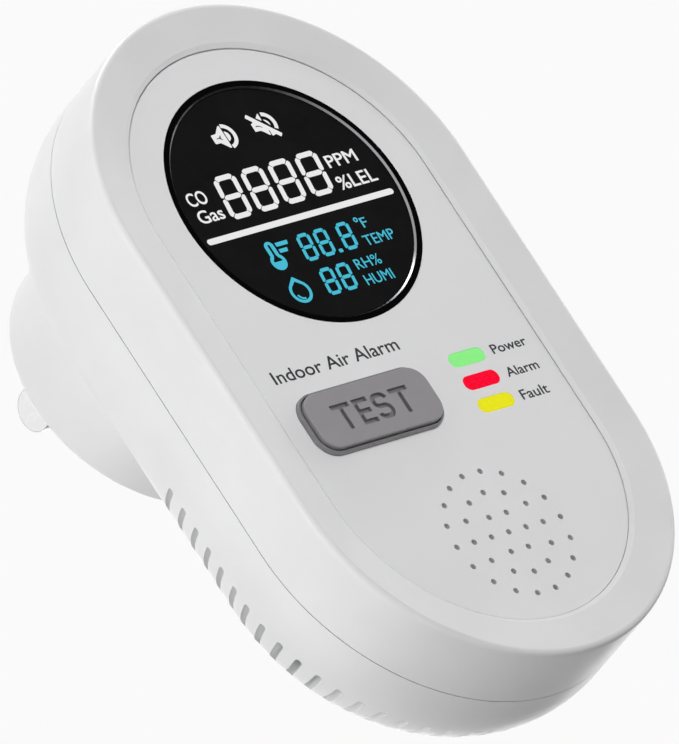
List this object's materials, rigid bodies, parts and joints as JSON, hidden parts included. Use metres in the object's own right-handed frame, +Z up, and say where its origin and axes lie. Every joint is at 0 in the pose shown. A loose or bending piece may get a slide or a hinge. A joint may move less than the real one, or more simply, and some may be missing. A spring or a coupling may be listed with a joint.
{
  "type": "carbon monoxide detector",
  "caption": "Plug-in carbon monoxide and gas alarm: capsule body, round display, test button, status lights, sound holes, side vents and flat plug blades.",
  "frame": {"origin": "centre of the round plug boss on the rear face that rests against the wall", "axes": "+Z up, the display looks towards -Y, the plug blades point towards +Y, +X is to the right when facing the display"},
  "size_m": [0.065, 0.0628, 0.1104],
  "materials": {
    "shell_white": "fine satin moulded ABS, very light warm grey",
    "panel_grey": "fine matt moulded plastic, light grey",
    "bezel_black": "gloss black",
    "lens_smoke": "smooth dark smoked window",
    "button_grey": "soft matt mid grey, engraved",
    "light_green": "translucent light green window",
    "light_red": "translucent red window",
    "light_yellow": "translucent yellow window",
    "dark_plastic": "moulded black plastic",
    "white_plastic": "white moulded plastic",
    "foam": "closed-cell foam",
    "board_green": "solder mask over glass fibre",
    "phenolic": "brown heat-resistant moulding",
    "steel": "nickel-plated steel",
    "contact_gold": "gold-flashed contacts",
    "ferrite": "grey-black ferrite",
    "tape_yellow": "yellow insulating tape",
    "sleeve_blue": "dark blue sleeve",
    "fuse_tan": "tan ceramic coating",
    "blade_metal": "bright nickel plate",
    "wire_black": "black insulation",
    "wire_white": "white insulation"
  },
  "bodies": {
    "housing": {"front_shell": "shell_white", "face_panel": "panel_grey", "rear_shell": "shell_white", "plug_housing": "shell_white", "case_screws": "steel", "display_bezel": "bezel_black", "display_lens": "lens_smoke", "display_module": "dark_plastic", "display_pins": "contact_gold", "button_surround": "button_grey", "switch_body": "dark_plastic", "power_light_pipe": "light_green", "alarm_light_pipe": "light_red", "fault_light_pipe": "light_yellow", "power_led": "white_plastic", "alarm_led": "white_plastic", "fault_led": "white_plastic", "sound_mesh": "dark_plastic", "sounder_gasket": "foam", "sounder": "dark_plastic", "main_board": "board_green", "board_screws": "steel", "board_chips": "dark_plastic", "microcontroller": "dark_plastic", "gas_sensor_base": "phenolic", "gas_sensor_can": "steel", "co_sensor": "steel", "humidity_sensor": "white_plastic", "header_pins": "contact_gold", "header_socket": "dark_plastic", "power_board": "board_green", "power_board_screws": "steel", "transformer_core": "ferrite", "transformer_coil": "tape_yellow", "mains_capacitor": "sleeve_blue", "output_capacitor": "sleeve_blue", "varistor": "sleeve_blue", "fuse": "fuse_tan", "rectifier": "dark_plastic", "blade_carrier": "phenolic", "carrier_screws": "steel", "left_blade": "blade_metal", "right_blade": "blade_metal", "live_wire": "wire_black", "neutral_wire": "wire_white"},
    "button": {"test_button": "button_grey"},
    "plunger": {"switch_plunger": "white_plastic"}
  },
  "joints": [
    {"name": "button_press", "type": "slide", "parent": "housing", "child": "button", "axis": [0, 1, 0], "range_m": [0, 0.0006], "stiffness_N_per_m": 2500, "springref_m": -0.0003},
    {"name": "plunger_press", "type": "slide", "parent": "housing", "child": "plunger", "axis": [0, 1, 0], "range_m": [0, 0.0006]}
  ],
  "couplings": [
    {"joint": "plunger_press", "follows": "button_press", "ratio": 1}
  ]
}
